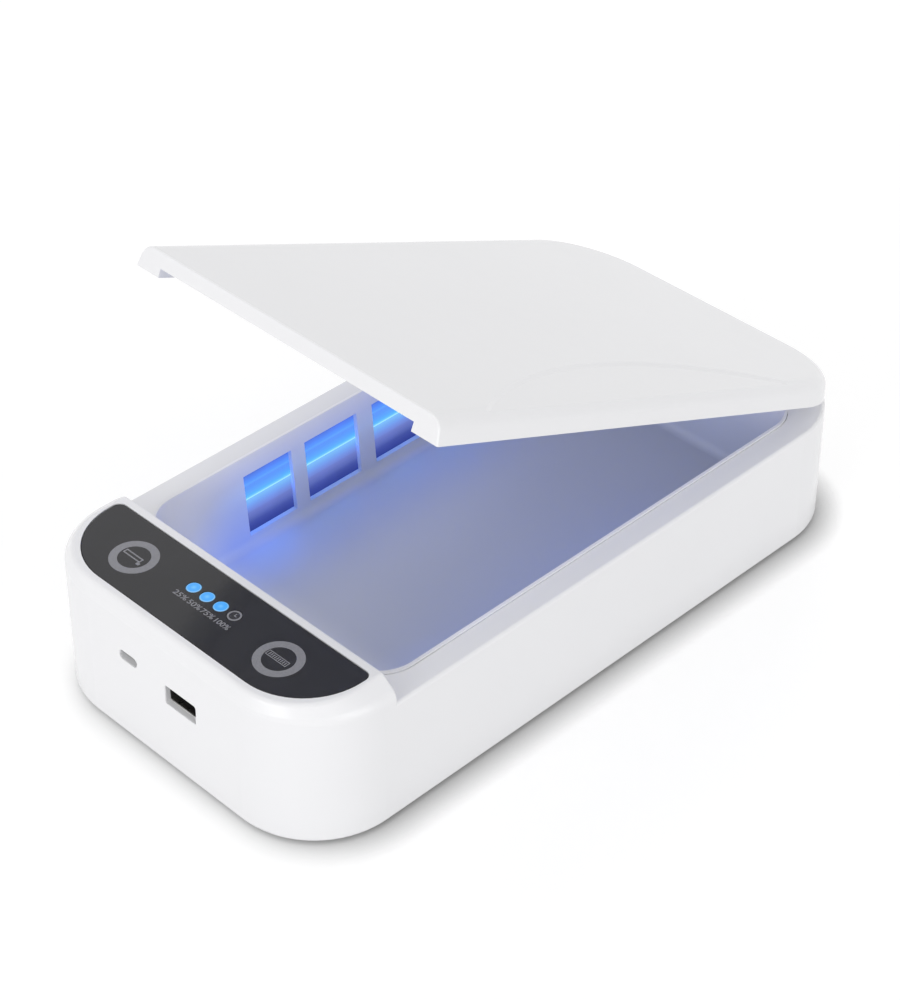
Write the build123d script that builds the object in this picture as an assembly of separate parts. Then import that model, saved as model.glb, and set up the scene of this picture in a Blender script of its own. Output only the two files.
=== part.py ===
from build123d import *
import math
import os

os.makedirs("parts", exist_ok=True)

# A desk-top sanitizer box for phones, in millimetres. The origin is the centre of the
# surface that it stands on, +Z is up, and the front with its two sockets faces -Y.

# ---------------------------------------------------------------- outer shell
shell_length = 223.0         # front to back
shell_width = 115.0          # left to right
shell_height = 46.3          # lower rim to the top of the front block
plan_radius = 27.0           # corners, seen from above
shell_draft = 0.5            # degrees, the walls lean in as they rise
shell_wall = 2.4
block_slope = 4.2            # height of the sloped band round the top of the front block
block_top_inset = (5.7, 2.0) # flat top, in from the sides and the front of the shell
block_top_corner = 20.5
block_top_rounding = 1.5
block_shoulder_rounding = 4.0
block_cavity_rounding = 3.0  # inside the block, under the sloped band
rim_rounding = 1.6           # lower edge of the shell
block_depth = 31.9           # front face to the step down to the ledge
block_wall = 2.0             # wall between the block and the ledge
block_step_rounding = 0.7
ledge_drop = 7.3             # top of the block to the ledge that the lid closes on
ledge_thickness = 2.0
ledge_rounding = 1.0
rear_ledge = 17.3            # back face to the opening in the ledge
seam = 0.1                   # gap between fitted mouldings

# ---------------------------------------------------------------- chamber liner
chamber_corner = 12.0
chamber_draft = 5.0          # degrees
chamber_floor_rounding = 3.0
tray_gap = 6.0               # bottom cover to the underside of the liner
liner_wall = 1.5
lip_rise = 0.7               # lip above the ledge
lip_width = 0.9
liner_flange = 2.4           # flange that bears on the underside of the ledge
liner_flange_thickness = 1.5
window_drop = 5.5            # ledge to the tops of the windows
window_sill = 3.4            # chamber floor to the windows
middle_window = 20.9         # lengths of the windows
end_window = 18.5
middle_post = 6.2            # posts between the windows
side_post = 5.2

# ---------------------------------------------------------------- lamps
lamp_diameter = 4.0
lamp_overrun = 3.3           # bare tube past the last window, up to the cap
lamp_gap = 0.3               # tube to the reflector behind it
lamp_clearance = 0.05        # round the tube in its caps
cap_wall = 0.7               # rubber between the tube and the chamber side of a cap
cap_gap = 0.6                # cap to the wall of the liner
cap_height = 9.0
cap_length = 9.0
cap_grip = 7.0               # length of tube inside each cap
cap_rounding = 0.6
bracket_thickness = 1.2
reflector_thickness = 0.4
reflector_height = 20.0
reflector_end_gap = 2.0      # end of the reflector to the cap

# ---------------------------------------------------------------- control panel
panel_side_margin = 6.65     # side of the shell to the panel
panel_front_margin = 4.4
panel_strip = 2.75           # block top left between the panel and the step
panel_thickness = 1.6
panel_sink = 0.15            # panel face below the top of the block
panel_corner_inset = 6.0     # front corners, less than the plan radius by this
panel_rear_corner = 2.5
panel_edge_chamfer = 0.25
panel_bed = 1.8              # thickness of the block top under the panel
key_spacing = 58.4           # between the two touch keys
key_forward = 0.4            # keys ahead of the middle of the panel
light_back = 2.8             # lights behind the middle of the panel
light_pitch = 5.48
light_count = 4
light_diameter = 4.3
light_clearance = 0.05
light_slot_gap = 0.6         # round the lights, where they pass the block top

# ---------------------------------------------------------------- boards
board_thickness = 1.6
board_corner = 1.5
board_gap = 0.3              # boards and the reed switch to the walls and bosses beside them
touch_board_drop = 9.0       # top of the block to the top of the board
touch_board_end = 6.8        # board past the middle of each key
touch_screw_inset = 7.2      # screws, inward from the keys
driver_board_width = 52.0
driver_board_height = 27.8   # top of the board above the lower rim
driver_rear_gap = 1.0        # board to the wall behind the block
driver_screw_inset = 3.2
boss_diameter = 5.0
pilot_diameter = 1.7
pilot_depth = 5.0
board_screw_diameter = 1.6
board_screw_length = 5.5
board_screw_head = 3.2
board_screw_head_height = 1.1
board_screw_hole = 2.0
spring_diameter = 6.4
spring_wire = 0.6
spring_turns = 4
spring_wire_sides = 8
spring_gap = 0.8             # spring to the hole in the block top
transformer_x = -10.8
transformer_size = (16.0, 9.0, 6.0)

# ---------------------------------------------------------------- sockets
usb_x = 7.25
usb_sink = 0.7               # middle of the socket below the middle of its board
usb_opening = (12.3, 6.2)    # width and height of the hole in the shell
usb_opening_corner = 0.6
usb_shell = (13.2, 6.2, 14.0)
usb_shell_wall = 0.4
usb_shell_corner = 0.8
usb_tongue = (11.2, 1.9, 12.2)
usb_tongue_rise = 0.9        # tongue above the middle of the socket
usb_mouth_depth = 2.0        # mouth of the socket behind the front face
charge_x = -14.05
charge_opening = (7.1, 3.0)
charge_opening_corner = 1.3
charge_shell = (8.3, 2.6, 6.5)
charge_shell_wall = 0.3
charge_shell_corner = 0.9
charge_tongue = (6.4, 0.7, 4.0)
charge_mouth_depth = 2.2
tongue_root = 1.2            # insulating block at the back of a socket
opening_chamfer = 0.25

# ---------------------------------------------------------------- bottom cover
cover_thickness = 2.0
cover_gap = 0.15
cover_boss_diameter = 7.0
cover_boss_height = 3.2      # lower rim to the foot of each screw tower
cover_rib = 1.2
cover_rib_inset = 14.0       # long ribs, from the inside of the shell
cover_rib_end = 12.0         # ribs stop short of the ends of the chamber
cover_cross_ribs = 3
front_tower_inset = (11.5, 18.5)   # screw towers, from the side and the front face
rear_tower_inset = (19.5, 10.0)    # screw towers, from the side and the back face
tower_diameter = 7.0
tower_pilot = 2.3
tower_pilot_depth = 9.0
cover_screw_diameter = 2.2
cover_screw_length = 9.0
cover_screw_head = 4.4
cover_screw_head_height = 1.5
cover_screw_hole = 2.6
cover_counterbore = 4.8
cover_counterbore_depth = 1.8
foot_diameter = 12.0
foot_height = 1.2            # below the shell
foot_pocket = 0.6
foot_chamfer = 0.5
foot_inset = (15.5, 29.0)    # centre of a foot, from the side and from the end

# ---------------------------------------------------------------- lid and hinge
lid_gap = 0.3                # closed lid above the ledge
lid_front_gap = 0.3          # closed lid to the step of the block
lid_back_inset = 0.3         # back edge of the lid inside the back of the shell
lid_draft = 12.0             # degrees, the sides of the lid lean in below the rounding
lid_rounding = 4.4
lid_front_rounding = 0.5
lid_skin = 1.8
lid_core = 1.4               # room between the skin and the inner plate
lid_front_wall = 2.0
lip_room = 0.2               # lip of the liner to the skirt of the lid
notch_half_width = 48.0      # notch under the front of the lid, over the lip
inner_plate_thickness = 1.2
plate_seat = 2.4             # width of the seat that carries the inner plate
crescent_depth = 0.45
crescent_slope = 1.2         # width of the sloped step round the crescent
crescent_radius = 122.0
crescent_reach = 24.3        # widest part of the crescent, from the side of the lid
crescent_y = 7.5
hinge_inset = 4.5            # hinge axis, from the back face of the shell
hinge_drop = 4.3             # hinge axis below the top of the lid
hinge_outboard = 0.5         # middle of each hinge, past the start of the plan corner
pin_diameter = 2.0
pin_clearance = 0.05
pin_chamfer = 0.2
knuckle_radius = 2.3
knuckle_length = 7.4
ear_thickness = 3.0
ear_gap = 0.3                # round each ear, in its pocket in the lid
ear_swing = 0.3              # more room above the ear, for the lid laid open
tail_inset = 0.1             # rounded back edge of the lid inside the back face
trough_gap = 0.4             # back edge of the lid to the trough it turns in
trough_wall = 2.4            # under the trough
trough_run_out = 6.0         # length in which the trough fades out at each end
lid_open_angle = 23.3        # degrees, as the object is shown, from closed
magnet_size = (10.0, 4.0, 1.1)
magnet_inset = 23.5          # middle of the magnet and its switch, from the side
reed_size = (12.0, 2.4, 2.6)
reed_drop = 8.0              # middle of the reed switch below the top of the block

# ---------------------------------------------------------------- worked out
rim_z = foot_height
top_z = rim_z + shell_height
ledge_z = top_z - ledge_drop
ledge_under_z = ledge_z - ledge_thickness
lip_z = ledge_z + lip_rise
front_y = -shell_length / 2
back_y = shell_length / 2
step_y = front_y + block_depth
shoulder_z = top_z - block_slope
side_x = shell_width / 2
inner_side_x = side_x - shell_wall
lean = math.tan(math.radians(shell_draft))
ledge_side_x = side_x - (ledge_z - rim_z) * lean
ledge_back_y = back_y - (ledge_z - rim_z) * lean
cover_top_z = rim_z + cover_thickness
liner_under_z = cover_top_z + tray_gap
floor_z = liner_under_z + liner_wall
window_low_z = floor_z + window_sill
window_high_z = ledge_z - window_drop
window_row = middle_post + 2 * (middle_window + side_post + end_window)
lamp_x = inner_side_x - reflector_thickness - lamp_gap - lamp_diameter / 2
lamp_z = (window_low_z + window_high_z) / 2
lamp_length = window_row + 2 * (lamp_overrun + cap_grip)
cap_inner_x = lamp_x - lamp_diameter / 2 - cap_wall
tray_lean = math.tan(math.radians(chamber_draft))
tray_swell = liner_wall - lip_width
opening_x = (cap_inner_x - cap_gap - tray_swell + seam
             + (lip_z - lamp_z - cap_height / 2) * tray_lean)
chamber_width = 2 * (opening_x - seam - lip_width)
liner_front_y = step_y + seam + lip_width
liner_back_y = back_y - rear_ledge - seam - lip_width
chamber_length = liner_back_y - liner_front_y
liner_y = (liner_front_y + liner_back_y) / 2
panel_top_z = top_z - panel_sink
panel_under_z = panel_top_z - panel_thickness
bed_under_z = panel_under_z - panel_bed
panel_width = shell_width - 2 * panel_side_margin
panel_depth = block_depth - panel_front_margin - panel_strip
panel_y = step_y - panel_strip - panel_depth / 2
panel_front_corner = min(plan_radius - panel_corner_inset, panel_depth - panel_rear_corner - 0.1)
key_y = panel_y - key_forward
light_y = panel_y + light_back
driver_top_z = rim_z + driver_board_height
driver_under_z = driver_top_z - board_thickness
driver_front_y = front_y + shell_wall + board_gap
driver_back_y = step_y - block_wall - driver_rear_gap
driver_y = (driver_front_y + driver_back_y) / 2
driver_board_depth = driver_back_y - driver_front_y
touch_top_z = top_z - touch_board_drop
touch_board_width = key_spacing + 2 * touch_board_end
touch_board_depth = driver_board_depth - 2 * (driver_screw_inset + board_gap) - boss_diameter
usb_z = driver_top_z - board_thickness / 2 - usb_sink
charge_z = driver_top_z + charge_shell[1] / 2
hinge_y = back_y - hinge_inset
hinge_z = top_z - hinge_drop
hinge_x = side_x - plan_radius + hinge_outboard
hinge_half = knuckle_length / 2 + ear_gap + ear_thickness
tail_radius = hinge_inset - tail_inset
trough_radius = tail_radius + trough_gap
trough_x = hinge_x + hinge_half - 1.0
lid_under_z = ledge_z + lid_gap
plate_top_z = top_z - lid_skin - lid_core
plate_under_z = plate_top_z - inner_plate_thickness
lid_front_y = step_y + lid_front_gap
lid_back_y = ledge_back_y - lid_back_inset
magnet_x = side_x - magnet_inset
hinge_axis = Axis((0, hinge_y, hinge_z), (1, 0, 0))


# ---------------------------------------------------------------- helpers
def block(x_span, y_span, z_span):
    """A box given by its two ends along each axis."""
    sizes = [span[1] - span[0] for span in (x_span, y_span, z_span)]
    middle = [(span[1] + span[0]) / 2 for span in (x_span, y_span, z_span)]
    return Pos(*middle) * Box(*sizes)


def upright(x, y, z_low, z_high, diameter):
    """A vertical cylinder."""
    height = z_high - z_low
    return Pos(x, y, z_low + height / 2) * Cylinder(diameter / 2, height)


def cross_rod(x_low, x_high, y, z, radius):
    """A cylinder along X."""
    length = x_high - x_low
    return Pos((x_low + x_high) / 2, y, z) * Rot(0, 90, 0) * Cylinder(radius, length)


def rounded_slab(width, length, radius, y, z_low, z_high, taper=0.0):
    """A slab with rounded corners in plan; a taper draws it in as it rises."""
    outline = Pos(0, y, z_low) * RectangleRounded(width, length, radius)
    return extrude(outline, z_high - z_low, taper=taper)


def save(node, solid):
    export_step(solid, "parts/" + node + ".step")


def screw(x, y, head_z, length, diameter, head, head_height):
    """A pan-head screw driven upwards, with a cross recess in its head."""
    shank = upright(x, y, head_z + head_height, head_z + head_height + length, diameter)
    cap = upright(x, y, head_z, head_z + head_height, head)
    cap = chamfer(cap.edges().group_by(Axis.Z)[0], head_height * 0.3)
    slot = Box(head * 0.6, head * 0.16, head_height)
    cross = Pos(x, y, head_z) * (slot + Rot(0, 0, 90) * slot)
    return shank + cap - cross


# ---------------------------------------------------------------- places
def touch_screw_places():
    across = key_spacing / 2 - touch_screw_inset
    return [(side * across, driver_y) for side in (-1, 1)]


def driver_screw_places():
    across = driver_board_width / 2 - driver_screw_inset
    along = driver_board_depth / 2 - driver_screw_inset
    return [(sx * across, driver_y + sy * along) for sx in (-1, 1) for sy in (-1, 1)]


def front_tower_places():
    x = side_x - front_tower_inset[0]
    return [(side * x, front_y + front_tower_inset[1]) for side in (-1, 1)]


def rear_tower_places():
    x = side_x - rear_tower_inset[0]
    return [(side * x, back_y - rear_tower_inset[1]) for side in (-1, 1)]


def light_places():
    first = -(light_count - 1) / 2 * light_pitch
    return [(first + i * light_pitch, light_y) for i in range(light_count)]


def foot_places():
    x = side_x - foot_inset[0]
    y = back_y - foot_inset[1]
    return {"front_left_foot": (-x, -y), "front_right_foot": (x, -y),
            "rear_left_foot": (-x, y), "rear_right_foot": (x, y)}


def ear_spans(middle):
    """The X spans of the two base ears beside one lid knuckle."""
    inner = hinge_half - ear_thickness
    return [(middle - hinge_half, middle - inner), (middle + inner, middle + hinge_half)]


def window_spans():
    """The Y spans of the four windows of one wall, even about the middle of the chamber."""
    near = middle_post / 2
    far = near + middle_window + side_post
    spans = []
    for side in (-1, 1):
        for start, length in ((near, middle_window), (far, end_window)):
            ends = (liner_y + side * start, liner_y + side * (start + length))
            spans.append(sorted(ends))
    return spans


def lamp_cap_middles():
    half = lamp_length / 2 - cap_grip + cap_length / 2
    return [liner_y - half, liner_y + half]


def reed_spans(room=0.0):
    """The spans of the reed switch on the rear wall of the block, with room on its free sides."""
    y_high = step_y - block_wall
    half = reed_size[0] / 2 + room
    across = reed_size[2] / 2 + room
    z = top_z - reed_drop
    return ((magnet_x - half, magnet_x + half), (y_high - reed_size[1] - room, y_high),
            (z - across, z + across))


# ---------------------------------------------------------------- base housing
def shell_outside():
    """Low body with the ledge, joined to the full-height front block."""
    lower = rounded_slab(shell_width, shell_length, plan_radius, 0, rim_z, ledge_z, shell_draft)
    lower = fillet(lower.edges().group_by(Axis.Z)[-1], ledge_rounding)
    lower = fillet(lower.edges().group_by(Axis.Z)[0], rim_rounding)
    full = rounded_slab(shell_width, shell_length, plan_radius, 0, rim_z, shoulder_z, shell_draft)
    flat_top = RectangleRounded(shell_width - 2 * block_top_inset[0],
                                shell_length - 2 * block_top_inset[1], block_top_corner)
    full += loft([full.faces().sort_by(Axis.Z)[-1], Pos(0, 0, top_z) * flat_top], ruled=True)
    full = fillet(full.edges().group_by(Axis.Z)[-1], block_top_rounding)
    shoulder = full.edges().filter_by_position(Axis.Z, shoulder_z - 0.01, shoulder_z + 0.01)
    full = fillet(shoulder, block_shoulder_rounding)
    front = full & block((-side_x - 1, side_x + 1), (front_y - 1, step_y),
                         (ledge_z - 2 * ledge_rounding, top_z + 1))
    rear_face = front.faces().sort_by(Axis.Y)[-1]
    low_edge = rear_face.edges().sort_by(Axis.Z)[0]
    front = fillet([e for e in rear_face.edges() if e != low_edge], block_step_rounding)
    return lower + front


def shell_cavity():
    """Space inside the housing, higher inside the front block."""
    outline = RectangleRounded(shell_width - 2 * shell_wall, shell_length - 2 * shell_wall,
                               plan_radius - shell_wall)
    low = extrude(Pos(0, 0, rim_z) * outline, ledge_under_z - rim_z)
    high = extrude(Pos(0, 0, rim_z) * outline, bed_under_z - rim_z)
    high = fillet(high.edges().group_by(Axis.Z)[-1], block_cavity_rounding)
    high &= block((-side_x, side_x), (front_y, step_y - block_wall), (rim_z, top_z))
    reach = trough_x + trough_run_out
    under_trough = block((-reach, reach), (hinge_y - trough_radius - trough_wall, back_y),
                         (hinge_z - trough_radius - trough_wall, ledge_z))
    return (low - under_trough) + high


def hinge_trough():
    """Hollow along the back of the ledge that the lid turns in, fading out at its ends."""
    middle = cross_rod(-trough_x, trough_x, hinge_y, hinge_z, trough_radius)
    run_out = Cone(trough_radius, hinge_z - ledge_z, trough_run_out)
    for side in (-1, 1):
        x = side * (trough_x + trough_run_out / 2)
        middle += Pos(x, hinge_y, hinge_z) * Rot(0, side * 90, 0) * run_out
    return middle


def hinge_ear(x_span):
    """One ear of the base, round about the pin and standing in the trough."""
    head = cross_rod(x_span[0], x_span[1], hinge_y, hinge_z, knuckle_radius)
    stem = block(x_span, (hinge_y - knuckle_radius, hinge_y + knuckle_radius),
                 (hinge_z - trough_radius - trough_wall / 2, hinge_z))
    return head + stem


def socket_hole(x, z, opening, corner, mouth_depth, shell):
    """Hole in the front wall, flared outside and relieved behind for the socket's shell."""
    face_y = front_y + (z - rim_z) * lean
    outline = Plane(origin=(x, face_y, z), x_dir=(1, 0, 0), z_dir=(0, -1, 0))
    hole = extrude(outline * RectangleRounded(*opening, corner), shell_wall + 1, both=True)
    flared = RectangleRounded(opening[0] + 2 * opening_chamfer, opening[1] + 2 * opening_chamfer,
                              corner + opening_chamfer)
    flare = extrude(outline * flared, -opening_chamfer, taper=45)
    relief = block((x - shell[0] / 2 - seam, x + shell[0] / 2 + seam),
                   (front_y + mouth_depth, front_y + shell_wall + 1),
                   (z - shell[1] / 2 - seam, z + shell[1] / 2 + seam))
    return hole + flare + relief


def panel_outline(clearance=0.0):
    """The D shape of the panel: large front corners, small rear ones."""
    outline = Rectangle(panel_width + 2 * clearance, panel_depth + 2 * clearance)
    outline = fillet(outline.vertices().group_by(Axis.Y)[0], panel_front_corner + clearance)
    outline = fillet(outline.vertices().group_by(Axis.Y)[-1], panel_rear_corner + clearance)
    return Pos(0, panel_y, panel_under_z) * outline


def light_slot():
    half = (light_count - 1) / 2 * light_pitch + light_diameter / 2 + light_slot_gap
    across = light_diameter / 2 + light_slot_gap
    slot = block((-half, half), (light_y - across, light_y + across),
                 (bed_under_z - 1, panel_under_z + panel_thickness / 2))
    return fillet(slot.edges().filter_by(Axis.Z), across * 0.9)


def bossed(body, places, z_low, z_high, diameter, pilot, depth):
    """Adds round bosses under a roof, each with a blind pilot hole from below."""
    for x, y in places:
        body += upright(x, y, z_low, z_high, diameter)
        body -= upright(x, y, z_low - 1, z_low + depth, pilot)
    return body


def base_housing():
    body = shell_outside() - shell_cavity()
    opening = rounded_slab(2 * opening_x, chamber_length + 2 * (lip_width + seam),
                           chamber_corner + lip_width + seam, liner_y,
                           ledge_under_z - 1, ledge_z + 1)
    body -= opening
    body -= extrude(panel_outline(seam), panel_thickness + 1)
    for side in (-1, 1):
        body -= upright(side * key_spacing / 2, key_y, bed_under_z - 1, top_z,
                        spring_diameter + 2 * spring_gap)
    body -= light_slot()
    body = bossed(body, touch_screw_places(), touch_top_z, bed_under_z, boss_diameter,
                  pilot_diameter, pilot_depth)
    body = bossed(body, driver_screw_places(), driver_top_z, bed_under_z, boss_diameter,
                  pilot_diameter, pilot_depth)
    tower_foot = rim_z + cover_boss_height
    body = bossed(body, front_tower_places(), tower_foot, bed_under_z, tower_diameter,
                  tower_pilot, tower_pilot_depth)
    body = bossed(body, rear_tower_places(), tower_foot, ledge_under_z, tower_diameter,
                  tower_pilot, tower_pilot_depth)
    body -= block(*reed_spans(board_gap))
    body -= hinge_trough()
    for middle in (-hinge_x, hinge_x):
        for span in ear_spans(middle):
            body += hinge_ear(span)
        body -= cross_rod(middle - hinge_half - 1, middle + hinge_half + 1, hinge_y, hinge_z,
                          pin_diameter / 2 + pin_clearance)
    body -= socket_hole(usb_x, usb_z, usb_opening, usb_opening_corner, usb_mouth_depth, usb_shell)
    body -= socket_hole(charge_x, charge_z, charge_opening, charge_opening_corner,
                        charge_mouth_depth, charge_shell)
    return body


# ---------------------------------------------------------------- chamber liner
def tray_level(z, grow=0.0):
    """Width, length and corner radius of the outside of the tray's lip, carried to a height."""
    inward = (lip_z - z) * tray_lean
    margin = 2 * (lip_width + grow - inward)
    return chamber_width + margin, chamber_length + margin, chamber_corner + margin / 2


def tray_solid(z_low, z_high, grow):
    """Solid between two heights that leans out as it rises, like the walls of the tray."""
    return rounded_slab(*tray_level(z_low, grow), liner_y, z_low, z_high, -chamber_draft)


def lamp_brackets():
    """Shelves above and below each lamp cap, on the outside of the tray."""
    shelves = []
    for side in (-1, 1):
        x_span = sorted((side * (chamber_width / 2 - liner_wall), side * lamp_x))
        for y in lamp_cap_middles():
            y_span = (y - cap_length / 2, y + cap_length / 2)
            for way in (-1, 1):
                near = lamp_z + way * (cap_height / 2 + seam)
                z_span = sorted((near, near + way * bracket_thickness))
                shelves.append(block(x_span, y_span, z_span))
    return shelves


def chamber_liner():
    tray = tray_solid(liner_under_z, lip_z, 0) + tray_solid(liner_under_z, ledge_under_z, tray_swell)
    flange = 2 * (lip_width + liner_flange)
    tray += rounded_slab(chamber_width + flange, chamber_length + flange,
                         chamber_corner + flange / 2, liner_y,
                         ledge_under_z - liner_flange_thickness, ledge_under_z)
    for shelf in lamp_brackets():
        tray += shelf
    space = tray_solid(floor_z, lip_z, -lip_width)
    space = fillet(space.edges().group_by(Axis.Z)[0], chamber_floor_rounding)
    tray -= space
    for y_span in window_spans():
        tray -= block((-side_x, side_x), y_span, (window_low_z, window_high_z))
    return tray


# ---------------------------------------------------------------- lamps
def lamp_tube(side):
    """A straight tube with its ends drawn in."""
    tube = Pos(side * lamp_x, liner_y, lamp_z) * Rot(90, 0, 0)
    return chamfer((tube * Cylinder(lamp_diameter / 2, lamp_length)).edges(), lamp_diameter * 0.2)


def lamp_cap(side, y):
    """Rubber end cap between the liner and the side wall, bored for the tube."""
    x_span = sorted((side * cap_inner_x, side * inner_side_x))
    cap = block(x_span, (y - cap_length / 2, y + cap_length / 2),
                (lamp_z - cap_height / 2, lamp_z + cap_height / 2))
    cap = fillet(cap.edges().filter_by(Axis.Y), cap_rounding)
    bore = Cylinder(lamp_diameter / 2 + lamp_clearance, lamp_length + 2 * lamp_clearance)
    return cap - Pos(side * lamp_x, liner_y, lamp_z) * Rot(90, 0, 0) * bore


def reflector(side):
    """Bright strip on the inside of the side wall, behind the lamp."""
    x_span = sorted((side * inner_side_x, side * (inner_side_x - reflector_thickness)))
    half = window_row / 2 + lamp_overrun - reflector_end_gap
    return block(x_span, (liner_y - half, liner_y + half),
                 (lamp_z - reflector_height / 2, lamp_z + reflector_height / 2))


# ---------------------------------------------------------------- control panel and boards
def control_panel():
    plate = extrude(panel_outline(), panel_thickness)
    plate = chamfer(plate.edges().group_by(Axis.Z)[-1], panel_edge_chamfer)
    for x, y in light_places():
        plate -= upright(x, y, panel_under_z - 1, top_z + 1, light_diameter + 2 * light_clearance)
    return plate


def level_light(place):
    """Light guide from the touch board to the face of the panel."""
    guide = upright(place[0], place[1], touch_top_z, panel_top_z, light_diameter)
    return chamfer(guide.edges().group_by(Axis.Z)[-1], panel_edge_chamfer)


def touch_spring(side):
    """Coil between the touch board and the underside of the panel."""
    rise = panel_under_z - touch_top_z - spring_wire
    radius = (spring_diameter - spring_wire) / 2
    path = Helix(pitch=rise / spring_turns, height=rise, radius=radius)
    wire = RegularPolygon(spring_wire / 2, spring_wire_sides)
    section = Plane(origin=path @ 0, z_dir=path % 0) * wire
    coil = sweep(section, path)
    return Pos(side * key_spacing / 2, key_y, touch_top_z + spring_wire / 2) * coil


def board(width, depth, top, screw_places):
    """A bare board with rounded corners, drilled for its screws."""
    plate = block((-width / 2, width / 2), (driver_y - depth / 2, driver_y + depth / 2),
                  (top - board_thickness, top))
    plate = fillet(plate.edges().filter_by(Axis.Z), board_corner)
    for x, y in screw_places:
        plate -= upright(x, y, top - board_thickness - 1, top + 1, board_screw_hole)
    return plate


def touch_board():
    return board(touch_board_width, touch_board_depth, touch_top_z, touch_screw_places())


def driver_board():
    """Board with a notch in its front edge that the larger socket sits down in."""
    plate = board(driver_board_width, driver_board_depth, driver_top_z, driver_screw_places())
    half = usb_shell[0] / 2 + seam
    notch_end = front_y + usb_mouth_depth + usb_shell[2] + seam
    return plate - block((usb_x - half, usb_x + half), (front_y, notch_end),
                         (driver_under_z - 1, driver_top_z + 1))


def lamp_transformer():
    """Small wound transformer that feeds the lamps, under the rear of the driver board."""
    half = transformer_size[0] / 2
    y_high = driver_back_y - driver_rear_gap
    core = block((transformer_x - half, transformer_x + half),
                 (y_high - transformer_size[1], y_high),
                 (driver_under_z - transformer_size[2], driver_under_z))
    return chamfer(core.edges().group_by(Axis.Z)[0], transformer_size[2] / 8)


def socket_shell(x, z, size, wall, corner, mouth_depth):
    """Folded metal shell of a socket, open to the front, closed behind."""
    mouth = Plane(origin=(x, front_y + mouth_depth, z), x_dir=(1, 0, 0), z_dir=(0, 1, 0))
    outside = extrude(mouth * RectangleRounded(size[0], size[1], corner), size[2])
    hollow = RectangleRounded(size[0] - 2 * wall, size[1] - 2 * wall, corner - wall)
    return outside - extrude(mouth * hollow, size[2] - wall)


def socket_tongue(x, z, size, wall, tongue, mouth_depth, rise=0.0):
    """Insulating root and contact tongue inside a socket's shell."""
    back = front_y + mouth_depth + size[2] - wall
    half = tongue[0] / 2
    root = block((x - half, x + half), (back - tongue_root, back),
                 (z - size[1] / 2 + wall, z + size[1] / 2 - wall))
    blade = block((x - half, x + half), (back - tongue[2], back - tongue_root / 2),
                  (z + rise - tongue[1] / 2, z + rise + tongue[1] / 2))
    return root + blade


def reed_switch():
    """Switch on the inside of the block's rear wall that senses the lid's magnet."""
    body = block(*reed_spans())
    return fillet(body.edges().filter_by(Axis.X).group_by(Axis.Y)[0], reed_size[1] / 4)


# ---------------------------------------------------------------- bottom cover, feet, screws
def bottom_cover():
    """Plate let into the lower rim, with ribs that bear the tray and pockets for the feet."""
    inset = 2 * (shell_wall + cover_gap)
    plate = rounded_slab(shell_width - inset, shell_length - inset, plan_radius - inset / 2, 0,
                         rim_z, cover_top_z)
    rib_x = inner_side_x - cover_rib_inset
    rib_z = (cover_top_z - cover_thickness / 2, liner_under_z)
    rib_front = liner_front_y + cover_rib_end
    rib_back = liner_back_y - cover_rib_end
    for side in (-1, 1):
        plate += block((side * rib_x - cover_rib / 2, side * rib_x + cover_rib / 2),
                       (rib_front, rib_back), rib_z)
    for i in range(cover_cross_ribs):
        y = rib_front + (rib_back - rib_front) * (i + 0.5) / cover_cross_ribs
        plate += block((-rib_x, rib_x), (y - cover_rib / 2, y + cover_rib / 2), rib_z)
    tower_foot = rim_z + cover_boss_height
    for x, y in front_tower_places() + rear_tower_places():
        plate += upright(x, y, rim_z + cover_thickness / 2, tower_foot, cover_boss_diameter)
        plate -= upright(x, y, rim_z - 1, tower_foot + 1, cover_screw_hole)
        plate -= upright(x, y, rim_z - 1, rim_z + cover_counterbore_depth, cover_counterbore)
    for x, y in foot_places().values():
        plate -= upright(x, y, rim_z - 1, rim_z + foot_pocket, foot_diameter + 2 * seam)
    return plate


def foot(place):
    pad = upright(place[0], place[1], 0, rim_z + foot_pocket, foot_diameter)
    return chamfer(pad.edges().group_by(Axis.Z)[0], foot_chamfer)


def cover_screws():
    head_z = rim_z + cover_counterbore_depth - cover_screw_head_height
    places = front_tower_places() + rear_tower_places()
    return Compound([screw(x, y, head_z, cover_screw_length, cover_screw_diameter,
                           cover_screw_head, cover_screw_head_height) for x, y in places])


def board_screws(places, board_under_z):
    head_z = board_under_z - board_screw_head_height
    return Compound([screw(x, y, head_z, board_screw_length, board_screw_diameter,
                           board_screw_head, board_screw_head_height) for x, y in places])


# ---------------------------------------------------------------- lid, drawn closed
def lid_outside():
    """Flat cap with a rounded top edge on three sides and a square front face."""
    overshoot = plan_radius + lid_rounding
    length = lid_back_y - lid_front_y + overshoot
    body = rounded_slab(2 * ledge_side_x, length, plan_radius, lid_back_y - length / 2,
                        lid_under_z, top_z, lid_draft)
    body = fillet(body.edges().group_by(Axis.Z)[-1], lid_rounding)
    body &= block((-side_x, side_x), (lid_front_y, back_y), (rim_z, top_z + 1))
    front_face = body.faces().sort_by(Axis.Y)[0]
    low_edge = front_face.edges().sort_by(Axis.Z)[0]
    return fillet([e for e in front_face.edges() if e != low_edge], lid_front_rounding)


def crescent():
    """Shallow step in the top, bounded by an arc that bows in from the right side."""
    centre_x = ledge_side_x - crescent_reach + crescent_radius
    cone = Cone(crescent_radius - crescent_slope, crescent_radius, crescent_depth)
    return Pos(centre_x, crescent_y, top_z - crescent_depth / 2) * cone


def under_space(grow, front, z_low, z_high):
    """Space inside the skirt, which follows the lip of the liner, cut square at its front."""
    margin = lip_width + seam + lip_room + grow
    space = rounded_slab(chamber_width + 2 * margin, chamber_length + 2 * margin,
                         chamber_corner + margin, liner_y, z_low, z_high)
    return space & block((-side_x, side_x), (front, back_y), (z_low - 1, z_high + 1))


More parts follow.
